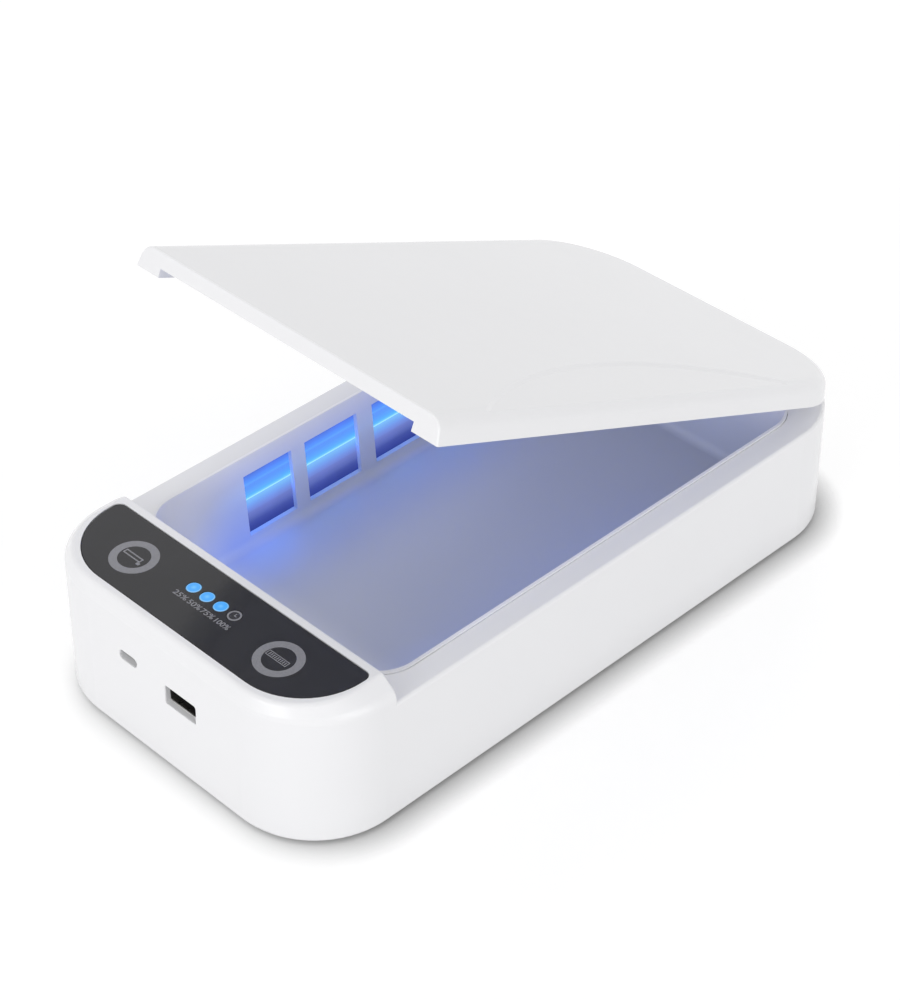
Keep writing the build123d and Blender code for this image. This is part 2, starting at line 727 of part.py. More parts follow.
def ear_pocket(x_span):
    """Slot in the back of the lid for one ear, open below and behind."""
    clear = knuckle_radius + ear_gap
    behind = block(x_span, (hinge_y, back_y + 1), (rim_z, hinge_z + clear + ear_swing))
    below = block(x_span, (hinge_y - clear, hinge_y + 1), (rim_z, hinge_z))
    return behind + below + cross_rod(x_span[0], x_span[1], hinge_y, hinge_z, clear)


def skirt_space():
    """Room for the lip of the liner, with a notch through the front of the skirt."""
    notch = block((-notch_half_width, notch_half_width), (lid_front_y - 1, liner_y),
                  (lid_under_z - 1, plate_under_z))
    return under_space(0, lid_front_y, lid_under_z - 1, plate_under_z) + notch


def lid_shell():
    body = lid_outside() - crescent()
    front = lid_front_y + lid_front_wall
    body -= skirt_space()
    body -= under_space(0, front, plate_under_z - 0.5, plate_top_z)
    body -= under_space(-plate_seat, front + plate_seat, plate_top_z - 1, plate_top_z + lid_core)
    tail = block((-side_x, side_x), (hinge_y, back_y + 1), (rim_z, hinge_z))
    tail -= cross_rod(-side_x, side_x, hinge_y, hinge_z, tail_radius)
    body -= tail
    for middle in (-hinge_x, hinge_x):
        for span in ear_spans(middle):
            body -= ear_pocket((span[0] - ear_gap, span[1] + ear_gap))
        body -= cross_rod(middle - knuckle_length, middle + knuckle_length, hinge_y, hinge_z,
                          pin_diameter / 2 + pin_clearance)
    return body


def lid_inner_plate():
    front = lid_front_y + lid_front_wall + seam
    return under_space(-seam, front, plate_under_z, plate_top_z)


def lid_magnet():
    y_low = lid_front_y + lid_front_wall + plate_seat + board_gap
    half = magnet_size[0] / 2
    return block((magnet_x - half, magnet_x + half), (y_low, y_low + magnet_size[1]),
                 (plate_top_z, plate_top_z + magnet_size[2]))


def opened(solid):
    """Turns a lid piece from closed to the angle at which the object is shown."""
    return solid.rotate(hinge_axis, -lid_open_angle)


def hinge_pin(middle):
    pin = cross_rod(middle - hinge_half, middle + hinge_half, hinge_y, hinge_z, pin_diameter / 2)
    return chamfer(pin.edges(), pin_chamfer)


# ---------------------------------------------------------------- write the pieces
def main():
    save("base_housing", base_housing())
    save("bottom_cover", bottom_cover())
    save("chamber_liner", chamber_liner())
    save("control_panel", control_panel())
    for number, place in enumerate(light_places(), start=1):
        save("level_light_" + str(number), level_light(place))
    save("touch_board", touch_board())
    save("driver_board", driver_board())
    save("lamp_transformer", lamp_transformer())
    save("usb_socket_shell", socket_shell(usb_x, usb_z, usb_shell, usb_shell_wall,
                                          usb_shell_corner, usb_mouth_depth))
    save("usb_socket_tongue", socket_tongue(usb_x, usb_z, usb_shell, usb_shell_wall, usb_tongue,
                                            usb_mouth_depth, usb_tongue_rise))
    save("charging_socket_shell", socket_shell(charge_x, charge_z, charge_shell,
                                               charge_shell_wall, charge_shell_corner,
                                               charge_mouth_depth))
    save("charging_socket_tongue", socket_tongue(charge_x, charge_z, charge_shell,
                                                 charge_shell_wall, charge_tongue,
                                                 charge_mouth_depth))
    save("reed_switch", reed_switch())
    for name, side in (("left", -1), ("right", 1)):
        save(name + "_touch_spring", touch_spring(side))
        save(name + "_lamp_tube", lamp_tube(side))
        save(name + "_reflector", reflector(side))
        for end, y in zip(("front", "rear"), lamp_cap_middles()):
            save(name + "_" + end + "_lamp_cap", lamp_cap(side, y))
        save(name + "_hinge_pin", hinge_pin(side * hinge_x))
    for name, place in foot_places().items():
        save(name, foot(place))
    save("cover_screws", cover_screws())
    save("touch_board_screws", board_screws(touch_screw_places(), touch_top_z - board_thickness))
    save("driver_board_screws", board_screws(driver_screw_places(), driver_under_z))
    save("lid_shell", opened(lid_shell()))
    save("lid_inner_plate", opened(lid_inner_plate()))
    save("lid_magnet", opened(lid_magnet()))


main()
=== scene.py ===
"""Finishes, printed marks, lit lamps and a plain studio for a phone sanitizer box."""
import math

import bmesh
import bpy
from bpy.props import FloatProperty, FloatVectorProperty, PointerProperty, StringProperty
from mathutils import Matrix, Vector


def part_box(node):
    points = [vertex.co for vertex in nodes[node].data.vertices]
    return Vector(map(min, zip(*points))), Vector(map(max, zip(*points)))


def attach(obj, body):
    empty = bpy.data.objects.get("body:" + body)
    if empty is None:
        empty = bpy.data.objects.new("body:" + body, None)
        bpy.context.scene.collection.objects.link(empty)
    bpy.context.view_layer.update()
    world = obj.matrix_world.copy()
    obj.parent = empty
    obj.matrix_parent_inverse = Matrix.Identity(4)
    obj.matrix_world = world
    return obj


bl_info = {
    "name": "Phone Sanitizer Box",
    "version": (1, 0, 0),
    "blender": (4, 5, 0),
    "location": "3D View > Sidebar > Sanitizer Box",
    "description": "Finishes, printed marks, lit lamps and a studio for a phone sanitizer box",
    "category": "Object",
}

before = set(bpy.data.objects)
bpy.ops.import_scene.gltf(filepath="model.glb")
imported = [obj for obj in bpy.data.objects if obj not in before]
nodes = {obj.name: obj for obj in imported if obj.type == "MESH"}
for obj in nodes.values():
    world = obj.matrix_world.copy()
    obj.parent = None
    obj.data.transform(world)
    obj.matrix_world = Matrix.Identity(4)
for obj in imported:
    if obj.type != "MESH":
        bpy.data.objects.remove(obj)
MM = 0.001

# refractive index of each plastic, rubber and glass
IOR = {"ABS": 1.53, "acrylic": 1.49, "ink": 1.5, "polycarbonate": 1.58, "quartz": 1.46,
       "nylon": 1.53, "rubber": 1.52, "epoxy": 1.55, "tape": 1.55}

# foil on the walls round the reflectors
FOIL_THICKNESS = 0.12 * MM
FOIL_BELOW = 9.0 * MM        # below a reflector
FOIL_BEYOND = 14.0 * MM      # past each of its ends
FOIL_TO_CAP = 0.3 * MM       # to the lamp caps

# print on the panel
PRINT_LIFT = 0.005 * MM      # from the face of the panel to the ink
# the figures with the ends of each, across the panel, in millimetres
FIGURES = (("25%", -10.8, -5.6), ("50%", -5.0, -0.1), ("75%", 0.3, 5.1), ("100%", 5.9, 11.2))
TUBE_DASHES = 9              # dashes in the mark of a lamp tube

# studio, in metres
SOFT_BOX_WIDTH = 1.0
SOFT_BOX_AIM = (0.0, 0.0, 0.03)
FRONT_PLACE = (0.15, -1.5, 0.35)
RIGHT_PLACE = (1.5, 0.0, 0.35)
REAR_PLACE = (-1.0, 0.9, 1.0)
FLOOR_REACH = 4.0            # middle of the floor to its sides
FLOOR_DROP = 0.02 * MM       # a hair below the feet, so that the two faces don't fight
# the painted contact shadow is worked out round a normal leaning to the front left, so it lies
# on the right
SHADOW_LEAN = (-0.47, -0.42, 0.78)
SHADOW_SAMPLES = 16
SHADOW_POWER = 0.75          # below 1 the shadow is paler
SPILL_SIZE = (3.0 * MM, 100.0 * MM)
SPILL_GAP = 0.15 * MM        # lamp tube to the light that it throws
SPILL_COLOUR = "3C6BFF"
EYE = (0.42028, -0.42081, 0.4942)
EYE_TILT, EYE_TURN = 52.08, 45.25    # degrees up from straight down, and round
SENSOR_WIDTH, FOCAL_LENGTH = 36.0, 104.95
EYE_NEAR = 0.01              # nearest distance that the camera shows


# ---------------------------------------------------------------- colours and nodes
CLOUD_SPAN = (0.3, 0.7)      # a noise stays almost always between these


def linear(hex_colour):
    """Turns an sRGB hex colour into the linear one that Blender's sockets hold."""
    parts = [int(hex_colour[i:i + 2], 16) / 255 for i in (0, 2, 4)]
    return [p / 12.92 if p <= 0.04045 else ((p + 0.055) / 1.055) ** 2.4 for p in parts] + [1.0]


def darker(tone, share):
    """A share of a linear colour."""
    return [part * share for part in tone[:3]] + [1.0]


def add_node(tree, kind, settings=None, links=None):
    """Adds a node, sets its properties and input values, and links its inputs."""
    node = tree.nodes.new(kind)
    for key, value in (settings or {}).items():
        if isinstance(key, str) and hasattr(node, key):
            setattr(node, key, value)
        else:
            node.inputs[key].default_value = value
    for key, source in (links or {}).items():
        tree.links.new(source, node.inputs[key])
    return node


def new_finish(name):
    """An empty material, its output, and the object coordinates of what wears it."""
    material = bpy.data.materials.new(name)
    material.use_nodes = True
    tree = material.node_tree
    tree.nodes.clear()
    output = add_node(tree, "ShaderNodeOutputMaterial")
    place = add_node(tree, "ShaderNodeTexCoord").outputs["Object"]
    return material, tree, output, place


def per_mm(size):
    """Scale of a noise whose features are this many millimetres across."""
    return 1000.0 / size


def two_tone(tree, place, size, low, high, detail=2.0):
    """Colour that drifts between two tones, with patches of a real size in millimetres."""
    cloud = add_node(tree, "ShaderNodeTexNoise", {"Scale": per_mm(size), "Detail": detail},
                     {"Vector": place})
    ramp = add_node(tree, "ShaderNodeValToRGB", {}, {"Fac": cloud.outputs["Fac"]})
    for stop, position, tone in zip(ramp.color_ramp.elements, CLOUD_SPAN, (low, high)):
        stop.position, stop.color = position, tone
    return ramp.outputs["Color"]


def grain_height(tree, place, size, depth, detail=2.0):
    """Bump of a real grain: its size and depth are in millimetres."""
    grain = add_node(tree, "ShaderNodeTexNoise", {"Scale": per_mm(size), "Detail": detail},
                     {"Vector": place})
    bump = add_node(tree, "ShaderNodeBump", {"Strength": 1.0, "Distance": depth * MM},
                    {"Height": grain.outputs["Fac"]})
    return bump.outputs["Normal"]


def spread(tree, place, size, low, high):
    """A value between low and high that drifts over patches of a real size."""
    cloud = add_node(tree, "ShaderNodeTexNoise", {"Scale": per_mm(size), "Detail": 3.0},
                     {"Vector": place})
    value = add_node(tree, "ShaderNodeMapRange",
                     {"From Min": CLOUD_SPAN[0], "From Max": CLOUD_SPAN[1],
                      "To Min": low, "To Max": high},
                     {"Value": cloud.outputs["Fac"]})
    return value.outputs["Result"]


def along_height(tree, place, z_low, z_high, tones):
    """Colours of a ramp that runs up the piece between two heights."""
    height = add_node(tree, "ShaderNodeSeparateXYZ", {}, {"Vector": place}).outputs["Z"]
    share = add_node(tree, "ShaderNodeMapRange", {"From Min": z_low, "From Max": z_high},
                     {"Value": height}).outputs["Result"]
    return toned(tree, share, tones)


def toned(tree, share, tones):
    """Colours of a ramp, given as (position, sRGB hex) pairs in rising order."""
    ramp = add_node(tree, "ShaderNodeValToRGB", {}, {"Fac": share})
    stops = ramp.color_ramp.elements
    for stop, (position, tone) in zip(stops, (tones[0], tones[-1])):
        stop.position, stop.color = position, linear(tone)
    for position, tone in tones[1:-1]:
        stops.new(position).color = linear(tone)
    return ramp.outputs["Color"]


def finished(tree, output, settings, links):
    """Ends a material with one Principled shader."""
    shader = add_node(tree, "ShaderNodeBsdfPrincipled", settings, links)
    tree.links.new(shader.outputs["BSDF"], output.inputs["Surface"])


# ---------------------------------------------------------------- finishes
# painted shade: tones from the floor of the tray (0), the darkest, to its lip (1), and the
# paler one at its front
TRAY_PAINTED_SHADE_TONES = ((0.0, "B9BDC8"), (0.5, "C4C8D4"), (0.78, "D6D8E2"), (0.92, "E6E6EC"),
              (1.0, "EDEDF1"))
TRAY_FRONT = "E4E4E8"
TRAY_FRONT_FADE = 22.0 * MM  # ahead of the lamps, the tray turns to that tone over this
# painted lamp light on the walls of the tray, from its floor to its lip
SHINE_TONES = ((0.0, "172274"), (0.3, "2242AC"), (0.62, "4788D8"), (0.8, "22499F"),
               (1.0, "060614"))
SHINE_INSIDE = 4.0 * MM      # it starts to fade this far inside the row of windows,
SHINE_PAST = 12.0 * MM       # ends this far past it,
SHINE_OFF_WALL = 4.0 * MM    # and ends this far in from the side walls
# painted lamp light round the front end of a tube, from the middle of the glow outwards
END_TONES = ((0.0, "0066F7"), (0.35, "1C58C8"), (0.7, "1C3060"), (1.0, "000000"))
END_REACH = 34.0 * MM
END_RISE = 1.5 * MM          # middle of that glow above the underside of the tray
# painted lamp light on the foil, from its bottom (0) to its top (1), brightest beside the lamp
FOIL_TONES = ((0.0, "2E3C82"), (0.06, "334188"), (0.11, "3C4991"), (0.16, "47559A"),
              (0.21, "5D6CAE"), (0.28, "707EC0"), (0.35, "7995DE"), (0.4, "78A8ED"),
              (0.46, "80C0F5"), (0.6, "70B0F4"), (0.7, "5C98EE"), (0.78, "5478D4"),
              (1.0, "4A58B0"))
# tones from the bottom of a lamp tube (0) to its top (1), with the arc as a pale line
TUBE_TONES = ((0.0, "5C9CF0"), (0.2, "88D0F8"), (0.34, "A8ECFF"), (0.46, "74CAFC"),
              (0.6, "5CB4FC"), (0.8, "5AA4FA"), (1.0, "6098F4"))


def gloss_moulded_abs(name, tone):
    """White ABS from a polished mould: a soft gloss over a faint orange peel."""
    material, tree, output, place = new_finish(name)
    finished(tree, output, {"IOR": IOR["ABS"]}, {
        # tone that drifts by one or two levels over a hand's width, as thick white mouldings do
        "Base Color": two_tone(tree, place, 60.0, darker(tone, 0.985), tone),
        # the flow of the plastic leaves the gloss a little uneven
        "Roughness": spread(tree, place, 25.0, 0.2, 0.27),
        # orange peel 3 mm across and 2 microns deep, just enough to soften a reflection
        "Normal": grain_height(tree, place, 3.0, 0.002),
    })
    return material


def painted_tray_shade(tree, place, spot, low, high, row):
    """Painted shade: the tray is deeper in tone towards its floor, and paler ahead of the
    lamps.
    """
    front = add_node(tree, "ShaderNodeMapRange",
                     {"interpolation_type": "SMOOTHSTEP", "From Min": row[0] - TRAY_FRONT_FADE,
                      "From Max": row[0], "To Min": 1.0, "To Max": 0.0}, {"Value": spot["Y"]})
    tone = add_node(tree, "ShaderNodeMix", {"data_type": "RGBA", 7: linear(TRAY_FRONT)},
                    {0: front.outputs["Result"],
                     6: along_height(tree, place, low.z, high.z, TRAY_PAINTED_SHADE_TONES)})
    return tone.outputs[2]


def painted_shine_on_walls(tree, place, spot, out, low, high, row, walls_x):
    """Painted lamp light on the side walls, which fades past the ends of the row of windows."""
    middle, half = (row[0] + row[1]) / 2, (row[1] - row[0]) / 2
    past = add_node(tree, "ShaderNodeMath", {"operation": "SUBTRACT", 1: middle},
                    {0: spot["Y"]})
    past = add_node(tree, "ShaderNodeMath", {"operation": "ABSOLUTE"},
                    {0: past.outputs["Value"]})
    along = add_node(tree, "ShaderNodeMapRange",
                     {"interpolation_type": "SMOOTHSTEP", "From Min": half - SHINE_INSIDE,
                      "From Max": half + SHINE_PAST, "To Min": 1.0, "To Max": 0.0},
                     {"Value": past.outputs["Value"]})
    across = add_node(tree, "ShaderNodeMapRange",
                      {"interpolation_type": "SMOOTHSTEP", "From Min": walls_x - SHINE_OFF_WALL,
                       "From Max": walls_x}, {"Value": out})
    on_wall = add_node(tree, "ShaderNodeMath", {"operation": "MULTIPLY"},
                       {0: along.outputs["Result"], 1: across.outputs["Result"]})
    shine = add_node(tree, "ShaderNodeMix", {"data_type": "RGBA", 6: (0.0, 0.0, 0.0, 1.0)},
                     {0: on_wall.outputs["Value"],
                      7: along_height(tree, place, low.z, high.z, SHINE_TONES)})
    return shine.outputs[2]


def painted_glow_of_ends(tree, spot, out, middle):
    """Painted lamp light: the front end of each tube throws more, low on the wall ahead of the
    windows.
    """
    mirrored = add_node(tree, "ShaderNodeCombineXYZ", {},
                        {"X": out, "Y": spot["Y"], "Z": spot["Z"]})
    reach = add_node(tree, "ShaderNodeVectorMath", {"operation": "DISTANCE", 1: middle},
                     {0: mirrored.outputs["Vector"]})
    share = add_node(tree, "ShaderNodeMath", {"operation": "DIVIDE", 1: END_REACH},
                     {0: reach.outputs["Value"]})
    return toned(tree, share.outputs["Value"], END_TONES)


def tray_abs_with_painted_light(name, low, high, row, walls_x, glow):
    """Thin white ABS with painted shade towards its floor and painted lamp light on its side
    walls.
    """
    material, tree, output, place = new_finish(name)
    # row is where the lit tubes start and end along Y, walls_x how far out the walls stand
    spot = add_node(tree, "ShaderNodeSeparateXYZ", {}, {"Vector": place}).outputs
    # both sides of the tray carry the same painted light, so the distance from its middle plane
    # is read
    out = add_node(tree, "ShaderNodeMath", {"operation": "ABSOLUTE"},
                   {0: spot["X"]}).outputs["Value"]
    both = add_node(tree, "ShaderNodeVectorMath", {"operation": "ADD"}, {
        0: painted_shine_on_walls(tree, place, spot, out, low, high, row, walls_x),
        1: painted_glow_of_ends(tree, spot, out, (walls_x, row[0], low.z + END_RISE))})
    # the emission is painted lamp light; the walls themselves give no light
    finished(tree, output, {"IOR": IOR["ABS"], "Emission Strength": glow}, {
        "Base Color": painted_tray_shade(tree, place, spot, low, high, row),
        "Emission Color": both.outputs["Vector"],
        # an even gloss: patches of it would show as a pattern in the lamps' light
        "Roughness": spread(tree, place, 40.0, 0.3, 0.32),
        "Normal": grain_height(tree, place, 3.0, 0.002),
    })
    return material


def matt_moulded_abs(name, tone):
    """White ABS from a spark-eroded mould: a fine matt grain that hides scratches."""
    material, tree, output, place = new_finish(name)
    finished(tree, output, {"IOR": IOR["ABS"]}, {
        "Base Color": two_tone(tree, place, 30.0, darker(tone, 0.97), tone),
        "Roughness": spread(tree, place, 12.0, 0.45, 0.58),
        # real grain is 0.1 mm; it is drawn at 0.5 mm so that it shows
        "Normal": grain_height(tree, place, 0.5, 0.02, 4.0),
    })
    return material


def dark_acrylic(name, tone):
    """Acrylic printed charcoal on its back: a deep gloss with the print showing through."""
    material, tree, output, place = new_finish(name)
    finished(tree, output, {"IOR": IOR["acrylic"]}, {
        "Base Color": two_tone(tree, place, 18.0, darker(tone, 0.8), tone),
        "Roughness": spread(tree, place, 10.0, 0.1, 0.16),
        "Normal": grain_height(tree, place, 5.0, 0.001),
    })
    return material


def printed_ink(name, tone):
    """Screen-printed grey ink: matt beside the acrylic, with a faint mesh mottle."""
    material, tree, output, place = new_finish(name)
    finished(tree, output, {"IOR": IOR["ink"]}, {
        "Base Color": two_tone(tree, place, 0.5, darker(tone, 0.82), tone, 3.0),
        "Roughness": spread(tree, place, 0.8, 0.3, 0.42),
    })
    return material


def round_falloff(tree, place, centre, radius):
    """0 in the middle of an upright round piece and 1 at its edge."""
    moved = add_node(tree, "ShaderNodeMapping",
                     {"Location": (-centre[0], -centre[1], 0.0), "Scale": (1.0, 1.0, 0.0)},
                     {"Vector": place})
    length = add_node(tree, "ShaderNodeVectorMath", {"operation": "LENGTH"},
                      {0: moved.outputs["Vector"]})
    share = add_node(tree, "ShaderNodeMath", {"operation": "DIVIDE", 1: radius},
                     {0: length.outputs["Value"]})
    return share.outputs["Value"]


def lit_guide(name, centre, radius, tone, glow):
    """Clear polycarbonate guide over a blue diode: bright middle, pale line at its rim."""
    material, tree, output, place = new_finish(name)
    share = round_falloff(tree, place, centre, radius)
    light = toned(tree, share, ((0.0, "6CC0FC"), (0.45, tone), (0.8, tone), (0.88, "8CC8F4"),
                                (1.0, "5C98C8")))
    finished(tree, output,
             {"IOR": IOR["polycarbonate"], "Roughness": 0.12, "Base Color": linear("1A3A5C"),
              "Emission Strength": glow}, {"Emission Color": light})
    return material


def unlit_guide(name, centre, radius):
    """The same guide with its diode off: smoked, and a little darker towards its rim."""
    material, tree, output, place = new_finish(name)
    share = round_falloff(tree, place, centre, radius)
    finished(tree, output, {"IOR": IOR["polycarbonate"], "Roughness": 0.14},
             {"Base Color": toned(tree, share, ((0.0, "303034"), (1.0, "242428")))})
    return material


def quartz_tube(name, z_low, z_high, glow):
    """Lit quartz lamp: a blue glow in the glass with the arc as a pale line low in the tube."""
    material, tree, output, place = new_finish(name)
    finished(tree, output,
             {"IOR": IOR["quartz"], "Roughness": 0.12, "Base Color": linear("0C1C48"),
              "Emission Strength": glow},
             {"Emission Color": along_height(tree, place, z_low, z_high, TUBE_TONES)})
    return material


def violet_foil(name, z_low, z_high, glow):
    """Anodised aluminium foil, rolled along its length, with the lamp's light on it painted in
    as a glow.
    """
    material, tree, output, place = new_finish(name)
    # the lines of the rolling run from front to back, 25 times as long as they are wide
    stretched = add_node(tree, "ShaderNodeMapping", {"Scale": (1.0, 0.04, 1.0)},
                         {"Vector": place})
    finished(tree, output, {"Metallic": 1.0, "Emission Strength": glow}, {
        "Base Color": two_tone(tree, place, 9.0, linear("34377E"), linear("4A4C92")),
        # painted lamp light: brightest beside the tube, dying away to navy below it
        "Emission Color": along_height(tree, place, z_low, z_high, FOIL_TONES),
        "Roughness": spread(tree, stretched.outputs["Vector"], 1.2, 0.5, 0.62),
        "Normal": grain_height(tree, stretched.outputs["Vector"], 0.8, 0.01),
    })
    return material


def drawn_steel(name, low, high, rough, length_axis=(1.0, 1.0, 1.0), grain=0.6):
    """Plain or plated steel with the fine lines of how it was drawn, rolled or folded."""
    material, tree, output, place = new_finish(name)
    stretched = add_node(tree, "ShaderNodeMapping", {"Scale": length_axis}, {"Vector": place})
    finished(tree, output, {"Metallic": 1.0}, {
        "Base Color": two_tone(tree, place, 2.5, low, high),
        "Roughness": spread(tree, stretched.outputs["Vector"], grain, rough, rough + 0.12),
        "Normal": grain_height(tree, stretched.outputs["Vector"], grain, 0.004),
    })
    return material


def filled_nylon(name, low, high):
    """Insulator moulded from glass-filled nylon: dull, with a dry grain."""
    material, tree, output, place = new_finish(name)
    finished(tree, output, {"IOR": IOR["nylon"]}, {
        "Base Color": two_tone(tree, place, 1.5, low, high, 4.0),
        "Roughness": spread(tree, place, 1.0, 0.45, 0.6),
        "Normal": grain_height(tree, place, 0.3, 0.006, 4.0),
    })
    return material


def soft_rubber(name, low, high, rough, shine="000000", glow=0.0):
    """Moulded rubber: matt, with a powdery bloom in slow patches, and a painted glow where one
    is given.
    """
    material, tree, output, place = new_finish(name)
    finished(tree, output, {"IOR": IOR["rubber"], "Emission Color": linear(shine),
                            "Emission Strength": glow}, {
        "Base Color": two_tone(tree, place, 4.0, low, high, 4.0),
        "Roughness": spread(tree, place, 3.0, rough, rough + 0.12),
        "Normal": grain_height(tree, place, 0.35, 0.015, 4.0),
    })
    return material


def glass_epoxy(name):
    """Board of woven glass and epoxy under green resist, whose weave shows as a fine grid."""
    material, tree, output, place = new_finish(name)
    # real weave is about 0.4 mm; it is drawn at 0.8 mm so that it shows
    weave = add_node(tree, "ShaderNodeTexChecker", {"Scale": per_mm(0.8)}, {"Vector": place})
    tone = add_node(tree, "ShaderNodeMix", {"data_type": "RGBA", 6: linear("17482C"),
                                            7: linear("1B5433")}, {0: weave.outputs["Fac"]})
    finished(tree, output, {"IOR": IOR["epoxy"]}, {
        "Base Color": tone.outputs[2],
        "Roughness": spread(tree, place, 5.0, 0.25, 0.36),
        "Normal": grain_height(tree, place, 0.8, 0.01),
    })
    return material


def wound_core(name):
    """Transformer wrapped in amber tape: broad laps, darker where they meet."""
    material, tree, output, place = new_finish(name)
    # laps 9.4 mm apart: at a scale of 1 the bands of a wave are tau / 20 of a metre apart
    turns = add_node(tree, "ShaderNodeTexWave",
                     {"Scale": per_mm(9.425) * math.tau / 20, "bands_direction": "X"},
                     {"Vector": place})
    tone = add_node(tree, "ShaderNodeMix", {"data_type": "RGBA", 6: linear("8A5A18"),
                                            7: linear("C08A2C")}, {0: turns.outputs["Fac"]})
    finished(tree, output, {"IOR": IOR["tape"], "Roughness": 0.35}, {
        "Base Color": tone.outputs[2],
        "Normal": grain_height(tree, place, 1.5, 0.03),
    })
    return material


def wear(names, material):
    """Gives CAD nodes a finish."""
    for name in names:
        mesh = nodes[name].data
        mesh.materials.clear()
        mesh.materials.append(material)


# ---------------------------------------------------------------- meshes
def middle_of(name):
    """Middle of a node's box at rest."""
    low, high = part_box(name)
    return (low + high) / 2


def piece(name, shape, material, body):
    """Ends a bmesh as an object at the origin that rides on a body."""
    bmesh.ops.recalc_face_normals(shape, faces=shape.faces)
    mesh = bpy.data.meshes.new(name)
    shape.to_mesh(mesh)
    shape.free()
    mesh.materials.append(material)
    made = bpy.data.objects.new(name, mesh)
    bpy.context.scene.collection.objects.link(made)
    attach(made, body)


def beside(place, span):
    """A span that is given in millimetres from a place."""
    return place + span[0] * MM, place + span[1] * MM


def add_ring(shape, centre, outer, inner, lift, thickness, segments=96):
    """A flat printed ring: a disc is inset, its middle taken out and its rim raised."""
    made = bmesh.ops.create_circle(shape, cap_ends=True, segments=segments, radius=outer,
                                   matrix=Matrix.Translation((centre.x, centre.y, lift)))
    disc = list({f for v in made["verts"] for f in v.link_faces})
    rim = bmesh.ops.inset_region(shape, faces=disc, thickness=outer - inner,
                                 use_boundary=True, use_even_offset=True)["faces"]
    bmesh.ops.delete(shape, geom=disc, context="FACES")
    raised = bmesh.ops.extrude_face_region(shape, geom=rim)
    moved = [g for g in raised["geom"] if isinstance(g, bmesh.types.BMVert)]
    bmesh.ops.translate(shape, verts=moved, vec=(0, 0, thickness))


def add_bar(shape, x_span, y_span, z_span, bevel=0.0):
    """A flat bar between two corners, with its upright corners rounded."""
    middle = Vector([(s[0] + s[1]) / 2 for s in (x_span, y_span, z_span)])
    size = Vector([s[1] - s[0] for s in (x_span, y_span, z_span)])
    matrix = Matrix.Translation(middle) @ Matrix.Diagonal((*size, 1.0))
    made = bmesh.ops.create_cube(shape, size=1.0, matrix=matrix)
    if bevel:
        upright = {e for v in made["verts"] for e in v.link_edges
                   if abs(e.verts[0].co.z - e.verts[1].co.z) > size.z / 2}
        bmesh.ops.bevel(shape, geom=list(upright), offset=bevel, offset_type="OFFSET",
                        segments=3, profile=0.5, affect="EDGES", material=-1)


def add_frame(shape, x_span, y_span, z_span, line):
    """The outline of a bar, in lines of one width."""
    for y in (y_span[0], y_span[1] - line):
        add_bar(shape, x_span, (y, y + line), z_span)
    for x in (x_span[0], x_span[1] - line):
        add_bar(shape, (x, x + line), (y_span[0] + line, y_span[1] - line), z_span)


def add_text(shape, words, x_span, y_span, z):
    """Plain generic figures as a flat mesh, stretched to their place on the panel."""
    curve = bpy.data.curves.new("figures", "FONT")
    curve.body = words
    curve.resolution_u = 4
    curve.offset = 0.018         # a slightly bold face
    made = bpy.data.objects.new("figures", curve)
    bpy.context.scene.collection.objects.link(made)
    bpy.context.view_layer.update()
    mesh = bpy.data.meshes.new_from_object(made)
    bpy.data.objects.remove(made)
    bpy.data.curves.remove(curve)
    known = set(shape.verts)
    shape.from_mesh(mesh)
    bpy.data.meshes.remove(mesh)
    added = [v for v in shape.verts if v not in known]
    low = Vector([min(v.co[i] for v in added) for i in range(3)])
    high = Vector([max(v.co[i] for v in added) for i in range(3)])
    size = high - low
    bmesh.ops.translate(shape, verts=added, vec=-low)
    bmesh.ops.scale(shape, verts=added, vec=((x_span[1] - x_span[0]) / size.x,
                                             (y_span[1] - y_span[0]) / size.y, 0.0))
    bmesh.ops.translate(shape, verts=added, vec=(x_span[0], y_span[0], z))


# ---------------------------------------------------------------- settings
class FinishSettings(bpy.types.PropertyGroup):
    """Colours and strengths that a user would change."""
    shell_colour: FloatVectorProperty(
        name="Shell", description="White of the housing and the lid",
        subtype="COLOR", size=4, min=0, max=1, default=linear("EEEEF0"))
    plate_colour: FloatVectorProperty(
        name="Inner plate", description="White of the plate inside the lid",
        subtype="COLOR", size=4, min=0, max=1, default=linear("E9E9EF"))
    panel_colour: FloatVectorProperty(
        name="Panel", description="Print on the back of the touch panel",
        subtype="COLOR", size=4, min=0, max=1, default=linear("222226"))
    ink_colour: FloatVectorProperty(
        name="Ink", description="Rings, marks and figures on the panel",
        subtype="COLOR", size=4, min=0, max=1, default=linear("8B8B91"))
    light_colour: StringProperty(
        name="Level lights", description="sRGB hex colour of the diodes that are on",
        default="3CA6F8")
    light_glow: FloatProperty(
        name="Light glow", description="Strength of the diodes that are on",
        default=0.9, min=0, max=10)
    # strength of the painted lamp light on the tray walls and the lamp caps
    painted_lamp_light: FloatProperty(
        name="Shine through", description="Lamp light in the walls of the tray",
        default=0.45, min=0, max=10)
    # strength of the painted lamp light on the reflectors and their aprons
    painted_foil_light: FloatProperty(
        name="Foil glow", description="Lamp light that the reflectors scatter",
        default=0.93, min=0, max=10)
    lamp_glow: FloatProperty(
        name="Lamp glow", description="Strength of the lamp tubes",
        default=1.0, min=0, max=50)


